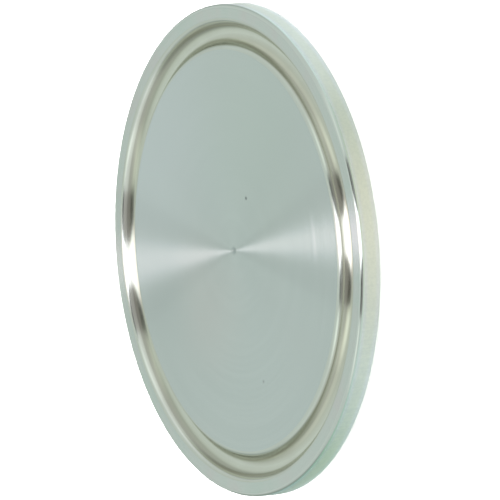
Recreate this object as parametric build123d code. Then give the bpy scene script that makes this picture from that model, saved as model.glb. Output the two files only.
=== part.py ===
from build123d import *
import os
from math import radians, sin, cos, tan, sqrt

os.makedirs("parts", exist_ok=True)

# Blind end cap for a 2 inch hygienic clamp union, turned from one stainless bar.
# Origin: centre of the flat back hub, which is the face it lies on. +Z leaves
# through the gasket face and is the turning axis. Millimetres.

# ---- driving dimensions -----------------------------------------------------
flange_d = 63.9          # outside diameter of the clamp flange
overall_t = 6.35         # back hub to gasket face
edge_t = 2.86            # flange thickness at the rim
back_taper_deg = 20.0    # clamp taper on the back, from the plane of the face
rim_front_r = 0.43       # rounding between gasket face and rim
rim_back_r = 0.12        # broken edge between rim and clamp taper
hub_edge_r = 0.5         # blend where the taper runs out into the flat hub

groove_pcd = 56.34       # diameter of the gasket groove's centre line
groove_arc_r = 1.45      # form tool radius of the groove
groove_depth = 1.60      # deepest point below the gasket face
groove_in_r = 0.70       # buffed rounding on the groove's inner edge
groove_out_r = 0.50      # buffed rounding on the groove's outer edge

pip_r = 0.45             # centre mark left by the facing tool
pip_depth = 0.05

# ---- derived ----------------------------------------------------------------
R = flange_d / 2
zf = overall_t                          # gasket face
rc = groove_pcd / 2
zc = zf - (groove_depth - groove_arc_r)  # height of the groove arc's centre
ta = radians(back_taper_deg)
z_rim = zf - edge_t                     # where rim and taper would meet
hub_r = R - z_rim / tan(ta)             # radius of the flat hub, before its blend


def edge_round(sign, rho):
    """Rounding tangent to the face and to the groove arc.
    sign -1 is the inner edge, +1 the outer. Gives the point on the face, a
    point half way along the arc, and the point where it meets the groove arc."""
    cz = zf - rho
    dx = sqrt((rho + groove_arc_r) ** 2 - (zc - cz) ** 2)
    cx = rc + sign * dx
    ux, uz = (rc - cx) / (rho + groove_arc_r), (zc - cz) / (rho + groove_arc_r)
    meet = (cx + rho * ux, cz + rho * uz)
    mx, mz = ux, uz + 1.0
    n = sqrt(mx * mx + mz * mz)
    mid = (cx + rho * mx / n, cz + rho * mz / n)
    return (cx, zf), mid, meet


in_face, in_mid, in_meet = edge_round(-1, groove_in_r)
out_face, out_mid, out_meet = edge_round(+1, groove_out_r)
groove_bottom = (rc, zf - groove_depth)

# rounding between the rim (vertical) and the clamp taper
rho = rim_back_r
k = rho * tan((radians(90) - ta) / 2)
back_c = (R - rho, z_rim + k)
back_rim = (R, z_rim + k)
back_taper = (R - k * cos(ta), z_rim - k * sin(ta))
a_mid = -(radians(90) - ta) / 2
back_mid = (back_c[0] + rho * cos(a_mid), back_c[1] + rho * sin(a_mid))

# blend between the clamp taper and the flat hub
k = hub_edge_r * tan(ta / 2)
hub_flat = (hub_r - k, 0.0)
hub_taper = (hub_r + k * cos(ta), k * sin(ta))
hub_c = (hub_r - k, hub_edge_r)
a_mid = -radians(90) + ta / 2
hub_mid = (hub_c[0] + hub_edge_r * cos(a_mid), hub_c[1] + hub_edge_r * sin(a_mid))

# rounding between gasket face and rim
f = rim_front_r
front_mid = (R - f + f * cos(radians(45)), zf - f + f * sin(radians(45)))


def P(p):
    return (p[0], 0.0, p[1])


half_section = [
    Line(P((0, 0)), P(hub_flat)),
    ThreePointArc(P(hub_flat), P(hub_mid), P(hub_taper)),
    Line(P(hub_taper), P(back_taper)),
    ThreePointArc(P(back_taper), P(back_mid), P(back_rim)),
    Line(P(back_rim), P((R, zf - f))),
    ThreePointArc(P((R, zf - f)), P(front_mid), P((R - f, zf))),
    Line(P((R - f, zf)), P(out_face)),
    ThreePointArc(P(out_face), P(out_mid), P(out_meet)),
    ThreePointArc(P(out_meet), P(groove_bottom), P(in_meet)),
    ThreePointArc(P(in_meet), P(in_mid), P(in_face)),
    Line(P(in_face), P((pip_r, zf))),
    Line(P((pip_r, zf)), P((0, zf - pip_depth))),
    Line(P((0, zf - pip_depth)), P((0, 0))),
]

end_cap = revolve(make_face(Wire(half_section)), axis=Axis.Z, revolution_arc=360)
end_cap.label = "end_cap"

print("flange radius", round(R, 3), "hub radius", round(hub_r, 3),
      "groove on the face", round(in_face[0], 3), "to", round(out_face[0], 3),
      "volume mm3", round(end_cap.volume, 1),
      "weight g", round(end_cap.volume * 7.93e-3, 1))

export_step(end_cap, "parts/end_cap.step")
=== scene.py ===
import bpy, math
import numpy as np
from mathutils import Matrix, Vector


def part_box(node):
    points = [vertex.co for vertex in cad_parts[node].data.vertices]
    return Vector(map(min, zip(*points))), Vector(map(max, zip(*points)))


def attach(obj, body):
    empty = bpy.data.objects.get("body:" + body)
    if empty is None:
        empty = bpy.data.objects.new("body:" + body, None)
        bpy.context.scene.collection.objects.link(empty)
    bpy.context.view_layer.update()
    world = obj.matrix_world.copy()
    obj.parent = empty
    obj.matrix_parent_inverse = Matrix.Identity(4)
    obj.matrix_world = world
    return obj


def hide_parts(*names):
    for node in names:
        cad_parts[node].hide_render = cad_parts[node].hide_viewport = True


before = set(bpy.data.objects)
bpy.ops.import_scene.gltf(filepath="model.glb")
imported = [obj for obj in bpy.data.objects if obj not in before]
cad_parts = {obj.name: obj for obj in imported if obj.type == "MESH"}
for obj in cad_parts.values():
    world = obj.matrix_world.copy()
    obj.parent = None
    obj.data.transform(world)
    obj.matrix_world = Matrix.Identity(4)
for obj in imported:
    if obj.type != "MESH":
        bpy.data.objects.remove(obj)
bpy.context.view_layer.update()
scene = bpy.context.scene
MM = 0.001

# ---------------------------------------------------------------------------
# Where the cap is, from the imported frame
# ---------------------------------------------------------------------------
low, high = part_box("end_cap")
R = (high[0] - low[0]) / 2 / MM          # flange radius, mm
ZF = high[2] / MM                        # gasket face height, mm
MX = (high[0] + low[0]) / 2
MY = (high[1] + low[1]) / 2

# the section of the turned part, mm
EDGE_T = 2.86
TAPER = math.radians(20.0)
FRONT_R, BACK_R, HUB_EDGE_R = 0.43, 0.12, 0.5
RC, ARC, DEPTH = 28.17, 1.45, 1.60
IN_R, OUT_R = 0.70, 0.50
PIP_R, PIP_D = 0.45, 0.05
ZC = ZF - (DEPTH - ARC)
Z_RIM = ZF - EDGE_T
HUB_R = R - Z_RIM / math.tan(TAPER)


# ---------------------------------------------------------------------------
# The turned section as points with their exact normals, from the middle of the
# back round to the middle of the gasket face. zone: 0 back, 1 rim, 2 front
# rounding, 3 groove with its two rounded edges, 4 face, 5 outer land
# ---------------------------------------------------------------------------
def section():
    pts = []

    def put(r, z, nr, nz, zone):
        pts.append((r, z, nr, nz, zone))

    def arc(cr, cz, rad, a0, a1, n, zone, sign=1.0, first=True):
        for i in range(0 if first else 1, n + 1):
            a = a0 + (a1 - a0) * i / n
            put(cr + rad * math.cos(a), cz + rad * math.sin(a),
                sign * math.cos(a), sign * math.sin(a), zone)

    # back
    k = HUB_EDGE_R * math.tan(TAPER / 2)
    for r in (0.6, 3.0, 8.0, 14.0, 19.0, HUB_R - k - 0.4):
        put(r, 0.0, 0.0, -1.0, 0)
    arc(HUB_R - k, HUB_EDGE_R, HUB_EDGE_R, -math.pi / 2, -math.pi / 2 + TAPER, 5, 0)
    kb = BACK_R * math.tan((math.pi / 2 - TAPER) / 2)
    a0 = -math.pi / 2 + TAPER
    end = (R - kb * math.cos(TAPER), Z_RIM - kb * math.sin(TAPER))
    start = (HUB_R + k * math.cos(TAPER), k * math.sin(TAPER))
    for f in (0.08, 0.5, 0.96):
        put(start[0] + f * (end[0] - start[0]), start[1] + f * (end[1] - start[1]),
            math.cos(a0), math.sin(a0), 0)
    arc(R - BACK_R, Z_RIM + kb, BACK_R, a0, 0.0, 6, 0)
    # rim
    zb, zt = Z_RIM + kb, ZF - FRONT_R
    for f in (0.04, 0.35, 0.65, 0.96):
        put(R, zb + f * (zt - zb), 1.0, 0.0, 1)
    # rounding between rim and face
    arc(R - FRONT_R, ZF - FRONT_R, FRONT_R, 0.0, math.pi / 2, 14, 2)

    # groove
    def edge(sign, rho):
        cz = ZF - rho
        dx = math.sqrt((rho + ARC) ** 2 - (ZC - cz) ** 2)
        cx = RC + sign * dx
        return cx, cz, math.atan2(ZC - cz, RC - cx)

    cx, cz, am = edge(+1, OUT_R)
    for f in (0.97, 0.72, 0.30, 0.015):
        put(cx + f * (R - FRONT_R - cx), ZF, 0.0, 1.0, 5)
    am = am if am > 0 else am + 2 * math.pi
    arc(cx, cz, OUT_R, math.pi / 2, am, 12, 3)
    b0 = am - math.pi
    cxi, czi, ami = edge(-1, IN_R)
    b1 = ami + math.pi
    b1 = b1 - 2 * math.pi if b1 > math.pi / 2 else b1
    # groove arc: from the outer wall (angle near 0) under the centre to the inner wall
    b0 = math.atan2(math.sin(b0), math.cos(b0))
    b1 = -math.pi - math.atan2(-math.sin(b1), -math.cos(b1)) if b1 > 0 else b1
    arc(RC, ZC, ARC, b0, b1, 30, 3, sign=-1.0, first=False)
    # inner edge, running out gently on to the face as a buffed edge does
    n = 14
    for i in range(1, n + 1):
        a = ami + (math.pi / 2 - ami) * i / n
        put(cxi + IN_R * math.cos(a), czi + IN_R * math.sin(a), math.cos(a), math.sin(a), 3)
    for r in (cxi - 0.15, 25.0, 22.0, 17.0, 12.0, 7.0, 3.0, 1.2, 0.5):
        put(r, ZF, 0.0, 1.0, 4)
    # centre mark left by the facing tool
    put(PIP_R + 0.03, ZF, 0.05, 0.9987, 4)
    put(PIP_R * 0.8, ZF - PIP_D * 0.35, -0.25, 0.968, 4)
    put(PIP_R * 0.35, ZF - PIP_D * 0.9, -0.2, 0.98, 4)
    return pts


SEG = 640
EASE = math.radians(58.0)


def turned(name, pts, closed_back=True):
    """Revolves the section round +Z at full resolution, with its own normals."""
    pts = np.array(pts, float)
    n = len(pts)
    th = np.linspace(0, 2 * math.pi, SEG, endpoint=False)
    c, s = np.cos(th), np.sin(th)
    co, no = [], []
    for r, z, nr, nz, zone in pts:
        co.append(np.c_[MX + r * MM * c, MY + r * MM * s, np.full(SEG, z * MM)])
        tilt = math.atan2(abs(nr), nz)
        if zone == 3 and r > RC and tilt > EASE:  # buffing leaves the outer wall's steepest part a little softer
            tilt = EASE + 0.4 * (tilt - EASE)
        h, v = math.copysign(math.sin(tilt), nr), math.cos(tilt)
        no.append(np.c_[h * c, h * s, np.full(SEG, v)])
    co = np.vstack(co + [[[MX, MY, 0.0]], [[MX, MY, (ZF - PIP_D) * MM]]])
    no = np.vstack(no + [[[0, 0, -1.0]], [[0, 0, 1.0]]])
    pole0, pole1 = n * SEG, n * SEG + 1
    j = np.arange(SEG)
    j2 = (j + 1) % SEG
    faces, mats = [], []
    for i in range(n - 1):
        a, b = i * SEG, (i + 1) * SEG
        faces += np.c_[a + j, a + j2, b + j2, b + j].tolist()
        mats += [int(max(pts[i, 4], pts[i + 1, 4]) if pts[i, 4] < 2 and pts[i + 1, 4] < 2 else pts[i + 1, 4])] * SEG
    faces += np.c_[np.full(SEG, pole0), j2, j].tolist()
    mats += [int(pts[0, 4])] * SEG
    last = (n - 1) * SEG
    faces += np.c_[np.full(SEG, pole1), last + j, last + j2].tolist()
    mats += [int(pts[-1, 4])] * SEG
    me = bpy.data.meshes.new(name)
    me.from_pydata(co.tolist(), [], faces)
    me.validate()
    me.update()
    me.polygons.foreach_set("material_index", mats)
    me.polygons.foreach_set("use_smooth", [True] * len(faces))
    me.normals_split_custom_set_from_vertices(no.tolist())
    me.update()
    ob = bpy.data.objects.new(name, me)
    scene.collection.objects.link(ob)
    return ob


# ---------------------------------------------------------------------------
# Materials
# ---------------------------------------------------------------------------
class Nodes:
    def __init__(self, name):
        self.m = bpy.data.materials.new(name)
        self.m.use_nodes = True
        self.t = self.m.node_tree
        self.n = self.t.nodes
        self.b = self.n["Principled BSDF"]

    def add(self, kind, **props):
        nd = self.n.new(kind)
        for k, v in props.items():
            setattr(nd, k, v)
        return nd

    def link(self, a, b):
        self.t.links.new(a, b)

    def math(self, op, a, b=None, c=None, clamp=False):
        nd = self.add("ShaderNodeMath", operation=op, use_clamp=clamp)
        for i, v in enumerate((a, b, c)):
            if v is None:
                continue
            if isinstance(v, (int, float)):
                nd.inputs[i].default_value = v
            else:
                self.link(v, nd.inputs[i])
        return nd.outputs[0]

    def maprange(self, v, a, b, c, d, interp="SMOOTHSTEP"):
        nd = self.add("ShaderNodeMapRange", interpolation_type=interp)
        self.link(v, nd.inputs[0])
        for i, x in enumerate((a, b, c, d)):
            nd.inputs[i + 1].default_value = x
        return nd.outputs[0]

    def polar(self):
        """radius in mm, height in mm, and the unit direction from the axis"""
        tc = self.add("ShaderNodeTexCoord")
        sep = self.add("ShaderNodeSeparateXYZ")
        self.link(tc.outputs["Object"], sep.inputs[0])
        xy = self.add("ShaderNodeCombineXYZ")
        self.link(sep.outputs[0], xy.inputs[0])
        self.link(sep.outputs[1], xy.inputs[1])
        ln = self.add("ShaderNodeVectorMath", operation="LENGTH")
        self.link(xy.outputs[0], ln.inputs[0])
        nm = self.add("ShaderNodeVectorMath", operation="NORMALIZE")
        self.link(xy.outputs[0], nm.inputs[0])
        r = self.math("MULTIPLY", ln.outputs["Value"], 1000.0)
        z = self.math("MULTIPLY", sep.outputs[2], 1000.0)
        return r, z, nm.outputs[0], tc.outputs["Object"]

    def away(self, vec, x, y):
        """distance in mm, across the part, from the line through x, y along the axis"""
        sc = self.add("ShaderNodeVectorMath", operation="MULTIPLY")
        self.link(vec, sc.inputs[0])
        sc.inputs[1].default_value = (1000.0, 1000.0, 0.0)
        nd = self.add("ShaderNodeVectorMath", operation="DISTANCE")
        self.link(sc.outputs[0], nd.inputs[0])
        nd.inputs[1].default_value = (x, y, 0.0)
        return nd.outputs["Value"]

    def ring_noise(self, r, z, around, scale, along, detail=2.0, rough=0.5):
        """Noise that changes fast with radius and slowly round the part, as tool
        marks do. scale is cycles per mm across, along is how fast it drifts round."""
        sc = self.add("ShaderNodeVectorMath", operation="SCALE")
        self.link(around, sc.inputs[0])
        sc.inputs["Scale"].default_value = along
        rz = self.math("ADD", r, z)
        sp = self.add("ShaderNodeSeparateXYZ")
        self.link(sc.outputs[0], sp.inputs[0])
        cb = self.add("ShaderNodeCombineXYZ")
        self.link(sp.outputs[0], cb.inputs[0])
        self.link(sp.outputs[1], cb.inputs[1])
        self.link(self.math("MULTIPLY", rz, scale), cb.inputs[2])
        no = self.add("ShaderNodeTexNoise", noise_dimensions="3D")
        no.inputs["Scale"].default_value = 1.0
        no.inputs["Detail"].default_value = detail
        no.inputs["Roughness"].default_value = rough
        self.link(cb.outputs[0], no.inputs["Vector"])
        return no.outputs["Fac"]

    def noise(self, vec, scale, detail=3.0, rough=0.5):
        no = self.add("ShaderNodeTexNoise", noise_dimensions="3D")
        no.inputs["Scale"].default_value = scale
        no.inputs["Detail"].default_value = detail
        no.inputs["Roughness"].default_value = rough
        self.link(vec, no.inputs["Vector"])
        return no.outputs["Fac"]

    def mix(self, fac, a, b):
        nd = self.add("ShaderNodeMix", data_type="RGBA")
        for sock, v in ((nd.inputs[0], fac), (nd.inputs[6], a), (nd.inputs[7], b)):
            if isinstance(v, (tuple, list)):
                sock.default_value = (*v, 1.0)
            elif isinstance(v, (int, float)):
                sock.default_value = v
            else:
                self.link(v, sock)
        return nd.outputs[2]

    def ramp(self, fac, stops):
        nd = self.add("ShaderNodeValToRGB")
        self.link(fac, nd.inputs[0])
        el = nd.color_ramp.elements
        while len(el) < len(stops):
            el.new(0.5)
        for e, (x, c) in zip(el, stops):
            e.position = x
            e.color = (*c, 1.0)
        return nd.outputs[0]

    def bump(self, height, distance, strength=1.0, normal=None):
        nd = self.add("ShaderNodeBump")
        nd.inputs["Strength"].default_value = strength
        nd.inputs["Distance"].default_value = distance
        self.link(height, nd.inputs["Height"])
        if normal is not None:
            self.link(normal, nd.inputs["Normal"])
        return nd.outputs[0]

    def tangent(self):
        nd = self.add("ShaderNodeTangent", direction_type="RADIAL", axis="Z")
        self.link(nd.outputs[0], self.b.inputs["Tangent"])


def steel(name, aniso, rot=0.25):
    m = Nodes(name)
    m.b.inputs["Metallic"].default_value = 1.0
    m.b.inputs["Anisotropic"].default_value = aniso
    m.b.inputs["Anisotropic Rotation"].default_value = rot
    m.b.inputs["Specular IOR Level"].default_value = 0.5
    m.tangent()
    return m


def along_marks(m, base, relief, rough, share):
    """A second gloss, mixed with the first: turning marks spread the shine across
    themselves far more than along, which draws it out into a narrow band."""
    g = m.add("ShaderNodeBsdfAnisotropic")
    g.inputs["Anisotropy"].default_value = 0.8
    m.link(base, g.inputs["Color"])
    m.link(rough, g.inputs["Roughness"])
    m.link(relief, g.inputs["Normal"])
    m.link(m.b.inputs["Tangent"].links[0].from_socket, g.inputs["Tangent"])
    both = m.add("ShaderNodeMixShader")
    both.inputs[0].default_value = share
    m.link(m.b.outputs[0], both.inputs[1])
    m.link(g.outputs[0], both.inputs[2])
    m.link(both.outputs[0], m.n["Material Output"].inputs["Surface"])


# centre in mm, reach in mm, share, colour. Partly changes of polish, partly painted light and shade: they make the
# far half of the face paler and lighten or dim stretches of the shine
FACE_POLISH_AND_PAINTED_LIGHT_PATCHES = [(15.0, 21.0, 26.0, 0.85, (0.630, 0.706, 0.692)), (15.0, -9.0, 22.0, 0.45, (0.535, 0.640, 0.575)),
                (-7.0, 8.0, 13.0, 0.45, (0.620, 0.640, 0.600)), (-13.0, -12.0, 14.0, 0.35, (0.590, 0.670, 0.640)),
                (-5.0, 20.0, 11.0, 0.5, (0.500, 0.575, 0.545))]


def face_material():
    m = steel("turned_face", 1.0)
    r, z, around, obj = m.polar()
    fine = m.ring_noise(r, z, around, 5.5, 0.7, 3.0, 0.65)
    wide = m.ring_noise(r, z, around, 0.8, 0.5, 2.0)
    cloud = m.noise(obj, 60.0, 3.0)
    tone = m.math("ADD", m.math("MULTIPLY", fine, 0.62), m.math("MULTIPLY", wide, 0.38))
    base = m.mix(tone, (0.515, 0.593, 0.560), (0.607, 0.684, 0.650))
    base = m.mix(m.maprange(cloud, 0.35, 0.7, 0.0, 0.35), base, (0.585, 0.643, 0.605))
    for x, y, reach, most, tint in FACE_POLISH_AND_PAINTED_LIGHT_PATCHES:     # slow changes of polish, partly painted light and shade over the face
        base = m.mix(m.maprange(m.away(obj, x, y), 0.0, reach, most, 0.0), base, tint)
    arc = m.maprange(m.math("ABSOLUTE", m.math("SUBTRACT", r, 20.8)), 0.1, 0.7, 0.55, 0.0)    # painted highlight: a short stretch of one turning mark made brighter where the shine crosses it
    base = m.mix(m.math("MULTIPLY", arc, m.maprange(m.away(obj, 0.8, -20.8), 0.8, 4.2, 1.0, 0.0)), base, (0.680, 0.740, 0.715))
    base = m.mix(m.maprange(r, 0.25, 0.8, 0.55, 0.0), base, (0.380, 0.445, 0.420))          # dull centre mark
    for x, y, most in ((6.60, -4.26, 0.75), (-17.13, -4.83, 0.30)):                         # two small dark specks
        base = m.mix(m.maprange(m.away(obj, x, y), 0.12, 0.32, most, 0.0), base, (0.180, 0.210, 0.200))
    m.link(base, m.b.inputs["Base Color"])
    ro = m.math("ADD", m.math("MULTIPLY", fine, 0.05), 0.275)
    m.link(ro, m.b.inputs["Roughness"])
    relief = m.bump(fine, 0.0000025)
    m.link(relief, m.b.inputs["Normal"])
    along_marks(m, base, relief, m.math("ADD", m.math("MULTIPLY", fine, 0.04), 0.16), 0.8)
    return m.m


# tone across the groove, radius in mm and colour: partly the metal's own duller, a little brown finish low on both
# walls, partly painted shade darkening the groove's hollow and painted highlight brightening its buffed edges and
# floor
GROOVE_TONE_SHADE_AND_HIGHLIGHT = [(26, (0.584, 0.640, 0.566)), (26.15, (0.568, 0.630, 0.559)), (26.3, (0.587, 0.655, 0.582)),
          (26.45, (0.619, 0.685, 0.610)), (26.6, (0.664, 0.717, 0.635)), (26.7, (0.512, 0.538, 0.468)),
          (26.8, (0.555, 0.572, 0.487)), (26.9, (0.506, 0.517, 0.432)), (27, (0.482, 0.492, 0.405)),
          (27.15, (0.608, 0.624, 0.510)), (27.3, (0.616, 0.641, 0.524)), (27.5, (0.563, 0.596, 0.492)),
          (27.7, (0.574, 0.614, 0.515)), (27.95, (0.593, 0.640, 0.545)), (28.2, (0.638, 0.694, 0.595)),
          (28.45, (0.613, 0.667, 0.569)), (28.7, (0.604, 0.656, 0.553)), (28.9, (0.551, 0.597, 0.493)),
          (29.1, (0.427, 0.456, 0.370)), (29.25, (0.447, 0.468, 0.383)), (29.4, (0.454, 0.465, 0.391)),
          (29.5, (0.475, 0.486, 0.423)), (29.58, (0.771, 0.800, 0.716)), (29.66, (0.824, 0.860, 0.795)),
          (29.76, (0.650, 0.705, 0.632)), (29.9, (0.597, 0.655, 0.577)), (30.08, (0.543, 0.599, 0.520))]


def groove_material():
    m = steel("buffed_groove", 0.45)
    r, z, around, obj = m.polar()
    fine = m.ring_noise(r, z, around, 6.0, 1.5, 2.0)
    blot = m.noise(obj, 130.0, 4.0, 0.55)
    # painted shade and highlight across the groove, on top of its own tone
    base = m.ramp(m.maprange(r, 26.0, 30.2, 0.0, 1.0, "LINEAR"), [((x - 26.0) / 4.2, c) for x, c in GROOVE_TONE_SHADE_AND_HIGHLIGHT])
    base = m.mix(m.maprange(blot, 0.3, 0.7, 0.0, 0.16), base, (0.40, 0.39, 0.33))
    m.link(base, m.b.inputs["Base Color"])
    m.link(m.math("ADD", m.math("MULTIPLY", fine, 0.10), 0.13), m.b.inputs["Roughness"])
    soft = m.noise(obj, 170.0, 3.0)
    b = m.bump(soft, 0.000012, 1.0)
    m.link(m.bump(fine, 0.000002, 1.0, b), m.b.inputs["Normal"])
    return m.m


def edge_material():
    m = steel("buffed_edge", 0.5)
    r, z, around, obj = m.polar()
    fine = m.ring_noise(r, z, around, 6.0, 1.0, 2.0)
    base = m.mix(fine, (0.555, 0.62, 0.565), (0.635, 0.70, 0.64))
    m.link(base, m.b.inputs["Base Color"])
    m.link(m.math("ADD", m.math("MULTIPLY", fine, 0.06), 0.11), m.b.inputs["Roughness"])
    soft = m.noise(obj, 260.0, 3.0)
    b = m.bump(soft, 0.000010, 1.0)
    m.link(m.bump(fine, 0.000002, 1.0, b), m.b.inputs["Normal"])
    return m.m


def land_material():
    m = steel("turned_land", 1.0)
    r, z, around, obj = m.polar()
    fine = m.ring_noise(r, z, around, 6.0, 1.0, 3.0, 0.6)
    patch = m.noise(obj, 150.0, 3.0, 0.55)
    base = m.mix(fine, (0.545, 0.615, 0.565), (0.625, 0.695, 0.64))
    base = m.mix(m.maprange(patch, 0.45, 0.7, 0.0, 0.6), base, (0.620, 0.620, 0.590))
    base = m.mix(m.maprange(patch, 0.5, 0.3, 0.0, 0.6), base, (0.540, 0.645, 0.580))
    # painted highlight: the land is made paler on the side towards the camera, where the strip light shines on it
    base = m.mix(m.maprange(m.away(obj, 1.0, -31.0), 1.0, 6.5, 0.8, 0.0), base, (0.730, 0.755, 0.755))
    m.link(base, m.b.inputs["Base Color"])
    m.link(m.math("ADD", m.math("MULTIPLY", fine, 0.05), 0.27), m.b.inputs["Roughness"])
    relief = m.bump(fine, 0.0000025)
    m.link(relief, m.b.inputs["Normal"])
    along_marks(m, base, relief, m.math("ADD", m.math("MULTIPLY", fine, 0.04), 0.13), 0.88)
    return m.m


def rim_material():
    m = steel("satin_rim", 0.35)
    r, z, around, obj = m.polar()
    grain = m.noise(obj, 2600.0, 3.0, 0.6)
    patch = m.noise(obj, 240.0, 3.0, 0.55)
    lines = m.ring_noise(r, z, around, 4.0, 2.0, 2.0)
    base = m.mix(patch, (0.63, 0.66, 0.64), (0.705, 0.735, 0.715))
    belt = m.math("MULTIPLY", m.maprange(z, Z_RIM + 0.25, Z_RIM + 0.9, 0.0, 1.0), m.maprange(z, ZF - 1.2, ZF - 0.6, 1.0, 0.0))
    base = m.mix(m.math("MULTIPLY", belt, 0.8), base, (0.665, 0.69, 0.595))
    # painted shade: a darker line along the rim's lower edge, where it turns under towards the floor
    low_edge_painted_shade = m.maprange(z, Z_RIM + 0.02, Z_RIM + 0.26, 1.0, 0.0)
    base = m.mix(m.math("MULTIPLY", low_edge_painted_shade, 0.75), base, (0.53, 0.53, 0.53))
    base = m.mix(m.maprange(grain, 0.35, 0.75, 0.0, 0.35), base, (0.53, 0.565, 0.52))
    across = m.add("ShaderNodeVectorMath", operation="MULTIPLY")     # faint tool chatter, lines along the axis
    m.link(obj, across.inputs[0])
    across.inputs[1].default_value = (3500.0, 3500.0, 260.0)
    steps = m.noise(across.outputs[0], 1.0, 2.0, 0.5)
    chatter = m.math("MULTIPLY", m.maprange(m.away(obj, -19.0, -26.0), 6.0, 24.0, 0.24, 0.0), m.maprange(steps, 0.42, 0.62, 0.0, 1.0))
    base = m.mix(chatter, base, (0.56, 0.60, 0.565))
    m.link(base, m.b.inputs["Base Color"])
    m.link(m.math("ADD", m.math("MULTIPLY", patch, 0.12), 0.36), m.b.inputs["Roughness"])
    b = m.bump(grain, 0.000012, 0.8)
    m.link(m.bump(lines, 0.000006, 1.0, b), m.b.inputs["Normal"])
    return m.m


def back_material():
    m = steel("turned_back", 0.7)
    r, z, around, obj = m.polar()
    fine = m.ring_noise(r, z, around, 4.0, 0.6, 3.0, 0.6)
    wide = m.ring_noise(r, z, around, 0.6, 0.5, 2.0)
    tone = m.math("ADD", m.math("MULTIPLY", fine, 0.6), m.math("MULTIPLY", wide, 0.4))
    base = m.mix(tone, (0.54, 0.575, 0.54), (0.63, 0.66, 0.62))
    m.link(base, m.b.inputs["Base Color"])
    m.link(m.math("ADD", m.math("MULTIPLY", fine, 0.1), 0.28), m.b.inputs["Roughness"])
    m.link(m.bump(fine, 0.000004), m.b.inputs["Normal"])
    return m.m


cap = turned("end_cap_turned", section())
for mat in (back_material(), rim_material(), edge_material(), groove_material(), face_material(), land_material()):
    cap.data.materials.append(mat)
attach(cap, "root")
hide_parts("end_cap")

# ---------------------------------------------------------------------------
# Camera: at the photograph's angle to the gasket face, a long lens
# ---------------------------------------------------------------------------
TH, PSI = math.radians(60.188), math.radians(175.200)   # face normal, seen from the camera
DIST = 30.0                                              # in flange radii
FPX = 7407.0                                             # focal length for 500 px
CX, CY = 233.942, 250.66                                # the face's centre in the picture
N = Vector((math.sin(TH) * math.cos(PSI), math.sin(TH) * math.sin(PSI), -math.cos(TH)))
C = Vector(((CX - 250) / FPX, (CY - 250) / FPX, 1.0)) * DIST * R * MM
view = -C.normalized()
yw = -(view - view.dot(N) * N).normalized()
xw = yw.cross(N)
to_world = Matrix((xw, yw, N))                           # camera-frame vector to world
cam_data = bpy.data.cameras.new("camera")
cam_data.sensor_width = 36.0
cam_data.lens = FPX / 500 * 36.0
cam_data.clip_start, cam_data.clip_end = 0.05, 50.0
cam = bpy.data.objects.new("camera", cam_data)
scene.collection.objects.link(cam)
pos = Vector((MX, MY, ZF * MM)) - to_world @ C
cols = [to_world @ Vector((1, 0, 0)), to_world @ Vector((0, -1, 0)), to_world @ Vector((0, 0, -1))]
m4 = Matrix((cols[0], cols[1], cols[2])).transposed().to_4x4()
m4.translation = pos
cam.matrix_world = m4
scene.camera = cam

# ---------------------------------------------------------------------------
# Studio: plain pale floor that curves up far away, soft light all round
# ---------------------------------------------------------------------------
def plain(name, rgb, rough=0.6):
    m = bpy.data.materials.new(name)
    m.use_nodes = True
    b = m.node_tree.nodes["Principled BSDF"]
    b.inputs["Base Color"].default_value = (*rgb, 1.0)
    b.inputs["Roughness"].default_value = rough
    b.inputs["Specular IOR Level"].default_value = 0.0
    return m


def lathe_stage(name, prof, mat, seg=96):
    me = bpy.data.meshes.new(name)
    th = np.linspace(0, 2 * math.pi, seg, endpoint=False)
    co = [(0.0, 0.0, prof[0][1])] if prof[0][0] == 0 else []
    base = len(co)
    rings = [p for p in prof if p[0] > 0]
    for r, z in rings:
        co += [(r * math.cos(t), r * math.sin(t), z) for t in th]
    faces = []
    if base:
        faces += [(0, base + j, base + (j + 1) % seg) for j in range(seg)]
    for i in range(len(rings) - 1):
        a, b = base + i * seg, base + (i + 1) * seg
        faces += [(a + j, a + (j + 1) % seg, b + (j + 1) % seg, b + j)[::-1] for j in range(seg)]
    me.from_pydata(co, [], faces)
    me.polygons.foreach_set("use_smooth", [True] * len(faces))
    me.materials.append(mat)
    ob = bpy.data.objects.new(name, me)
    scene.collection.objects.link(ob)
    return ob


floor_mat = plain("floor_paper", (0.86, 0.865, 0.86))
floor = lathe_stage("floor", [(0.0, 0.0), (0.2, 0.0), (1.0, 0.0), (2.4, 0.0)], floor_mat)
sweep = [(2.4, 0.0)] + [(2.4 + 1.0 * math.sin(a), 1.0 - 1.0 * math.cos(a))
                        for a in np.linspace(0.1, math.pi / 2, 10)] + [(3.4, 3.2)]
wall = lathe_stage("backdrop", sweep, floor_mat)
wall.visible_glossy = False
wall.visible_diffuse = False
wall.visible_shadow = False

# soft light: the studio's own glow by direction. An even pale tent, with a long
# bright strip that starts behind the cap and runs over it towards the camera,
# widening as it comes, and a darker gap either side of its nearer part
TENT = (0.765, 0.80, 0.79)
STRIP, STRIP_OVER = (2.08, 1.82, 1.92), (3.2, 3.2, 3.5)   # where it starts, and overhead
GAP, GAP_NEAR = (0.105, 0.105, 0.10), (0.40, 0.39, 0.385)
FLANK, HORIZON, CORNER = (1.17, 1.22, 1.18), (0.46, 0.50, 0.485), (0.33, 0.37, 0.34)
STRIP_TURN = math.radians(1.3)     # the strip's line is turned a little from the camera's
GAP_W, GAP_OFF = 0.330, 0.013                     # the gap's half width and offset, as tangents seen from where the strip starts
world = bpy.data.worlds.new("studio")
scene.world = world
world.use_nodes = True
W = Nodes.__new__(Nodes)
W.t = world.node_tree
W.n = W.t.nodes
bg = W.n["Background"]
tc = W.add("ShaderNodeTexCoord")
sp = W.add("ShaderNodeSeparateXYZ")
W.link(tc.outputs["Generated"], sp.inputs[0])
dy = W.math("SUBTRACT", 0.868, sp.outputs[1])
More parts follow.
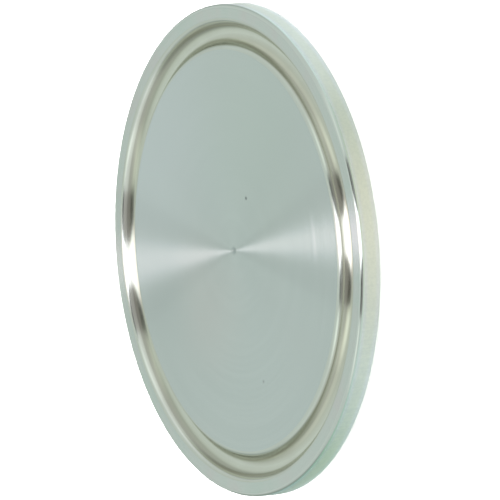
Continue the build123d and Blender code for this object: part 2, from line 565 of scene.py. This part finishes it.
cs, sn = math.cos(STRIP_TURN), math.sin(STRIP_TURN)
along = W.math("ADD", W.math("MULTIPLY", sp.outputs[0], sn), W.math("MULTIPLY", dy, cs))
side = W.math("SUBTRACT", W.math("MULTIPLY", sp.outputs[0], cs), W.math("MULTIPLY", dy, sn))
across = W.math("ABSOLUTE", side)
wide = W.math("DIVIDE", across, W.math("MAXIMUM", along, 0.02))
strip_w = W.math("SUBTRACT", W.maprange(along, 0.5, 0.95, 0.07, 0.155), W.maprange(along, 1.0, 1.75, 0.0, 0.066))
strip = W.math("MULTIPLY", W.maprange(W.math("DIVIDE", wide, strip_w), 0.84, 1.16, 1.0, 0.0),
               W.maprange(along, 0.04, 0.3, 0.0, 1.0))
strip = W.math("MULTIPLY", strip, W.maprange(along, 1.66, 1.84, 1.0, 0.42))
lean = W.math("DIVIDE", side, W.math("MAXIMUM", along, 0.02))
off_wide = W.math("ABSOLUTE", W.math("ADD", lean, GAP_OFF))
gap = W.math("MULTIPLY", W.maprange(off_wide, GAP_W - 0.015, GAP_W + 0.015, 1.0, 0.0),
             W.maprange(along, 0.68, 1.20, 0.0, 1.0))
dark = W.mix(W.maprange(along, 1.36, 1.60, 0.0, 1.0), GAP, GAP_NEAR)
flank = W.math("MULTIPLY", W.maprange(off_wide, GAP_W - 0.01, GAP_W + 0.07, 0.0, 1.0), W.maprange(off_wide, 0.50, 0.85, 1.0, 0.0))
flank = W.math("MULTIPLY", flank, W.maprange(along, 0.65, 1.00, 0.0, 1.0))
flank = W.math("MULTIPLY", flank, W.maprange(along, 1.15, 1.50, 1.0, 0.0))
flank = W.math("MULTIPLY", flank, W.maprange(side, -0.05, 0.05, 1.0, 0.6))
low_back = W.math("MULTIPLY", W.maprange(sp.outputs[1], 0.1, 0.5, 0.0, 1.0), W.maprange(sp.outputs[2], -0.05, 0.40, 1.0, 0.0))
sky = W.mix(flank, TENT, FLANK)
sky = W.mix(low_back, sky, HORIZON)
left_back = W.math("MULTIPLY", W.maprange(sp.outputs[0], -0.45, -0.15, 1.0, 0.0), W.maprange(sp.outputs[1], 0.0, 0.35, 0.0, 1.0))
left_back = W.math("MULTIPLY", left_back, W.maprange(sp.outputs[2], -0.10, 0.60, 1.0, 0.0))
sky = W.mix(left_back, sky, CORNER)
sky = W.mix(gap, sky, dark)
sky = W.mix(strip, sky, W.mix(W.maprange(along, 0.95, 1.2, 0.0, 1.0), STRIP, STRIP_OVER))
W.link(sky, bg.inputs["Color"])
bg.inputs["Strength"].default_value = 1.0


def area(name, loc, target, size, power, glossy=True, color=(1, 1, 1), size_y=None):
    l = bpy.data.lights.new(name, "AREA")
    l.shape = "RECTANGLE" if size_y else "DISK"
    l.size = size
    if size_y:
        l.size_y = size_y
    l.energy = power
    l.color = color
    o = bpy.data.objects.new(name, l)
    scene.collection.objects.link(o)
    o.location = loc
    d = Vector(target) - Vector(loc)
    o.rotation_euler = d.to_track_quat("-Z", "Y").to_euler()
    o.visible_glossy = glossy
    o.visible_camera = False
    return o


world.cycles_visibility.diffuse = False
area("floor_fill", (0.1, -2.6, 1.62), (0, 0, 0), 1.8, 300.0, glossy=False)
area("top_fill", (-0.3, -1.3, 2.4), (0, 0, 0), 2.2, 150.0, glossy=False)


# what the polished parts see of the table: a pale card round the cap, darker on
# the sides away from the window, seen in reflections only
def table_glow():
    m = Nodes("table_card")
    m.n.remove(m.b)
    em = m.add("ShaderNodeEmission")
    m.link(em.outputs[0], m.n["Material Output"].inputs["Surface"])
    tc = m.add("ShaderNodeTexCoord")
    sp = m.add("ShaderNodeSeparateXYZ")
    m.link(tc.outputs["Object"], sp.inputs[0])
    turn = m.math("ARCTAN2", sp.outputs[0], m.math("MULTIPLY", sp.outputs[1], -1.0))
    turn = m.math("MULTIPLY_ADD", turn, 0.5 / math.pi, 0.5)
    ramp = m.add("ShaderNodeValToRGB")
    m.link(turn, ramp.inputs[0])
    el = ramp.color_ramp.elements
    while len(el) < len(TABLE):
        el.new(0.5)
    for e, (deg, *rgb) in zip(el, TABLE):
        e.position = deg / 360 + 0.5
        e.color = (*rgb, 1.0)
    m.link(ramp.outputs[0], em.inputs["Color"])
    o = lathe_stage("table_card", [(0.0335, 0.0002), (0.06, 0.0002), (0.5, 0.0002), (2.38, 0.0002)], m.m)
    o.location = (MX, MY, 0.0)
    o.visible_camera = False
    o.visible_diffuse = False
    o.visible_shadow = False
    return o


TABLE = [(-180, 0.655, 0.695, 0.67), (-172, 0.69, 0.72, 0.70), (-165, 0.61, 0.64, 0.62), (-150, 0.60, 0.63, 0.60), (-125, 0.36, 0.40, 0.37), (-95, 0.43, 0.58, 0.56),
         (-70, 0.48, 0.68, 0.56), (-53, 0.67, 0.82, 0.80), (-36, 0.82, 0.94, 0.94), (-18, 0.88, 0.93, 0.88),
         (0, 1.00, 1.01, 0.91), (14, 0.93, 0.94, 0.83), (36, 0.71, 0.79, 0.72), (53, 0.92, 1.02, 1.03),
         (70, 0.97, 1.09, 1.14), (87, 0.97, 1.09, 1.12), (100, 0.75, 0.80, 0.80), (125, 0.40, 0.44, 0.425),
         (150, 0.44, 0.475, 0.465), (170, 0.58, 0.62, 0.60), (180, 0.655, 0.695, 0.67)]
table_glow()

scene.view_settings.view_transform = "Standard"
scene.view_settings.look = "None"
scene.view_settings.exposure = 0.0
scene.view_settings.gamma = 1.0
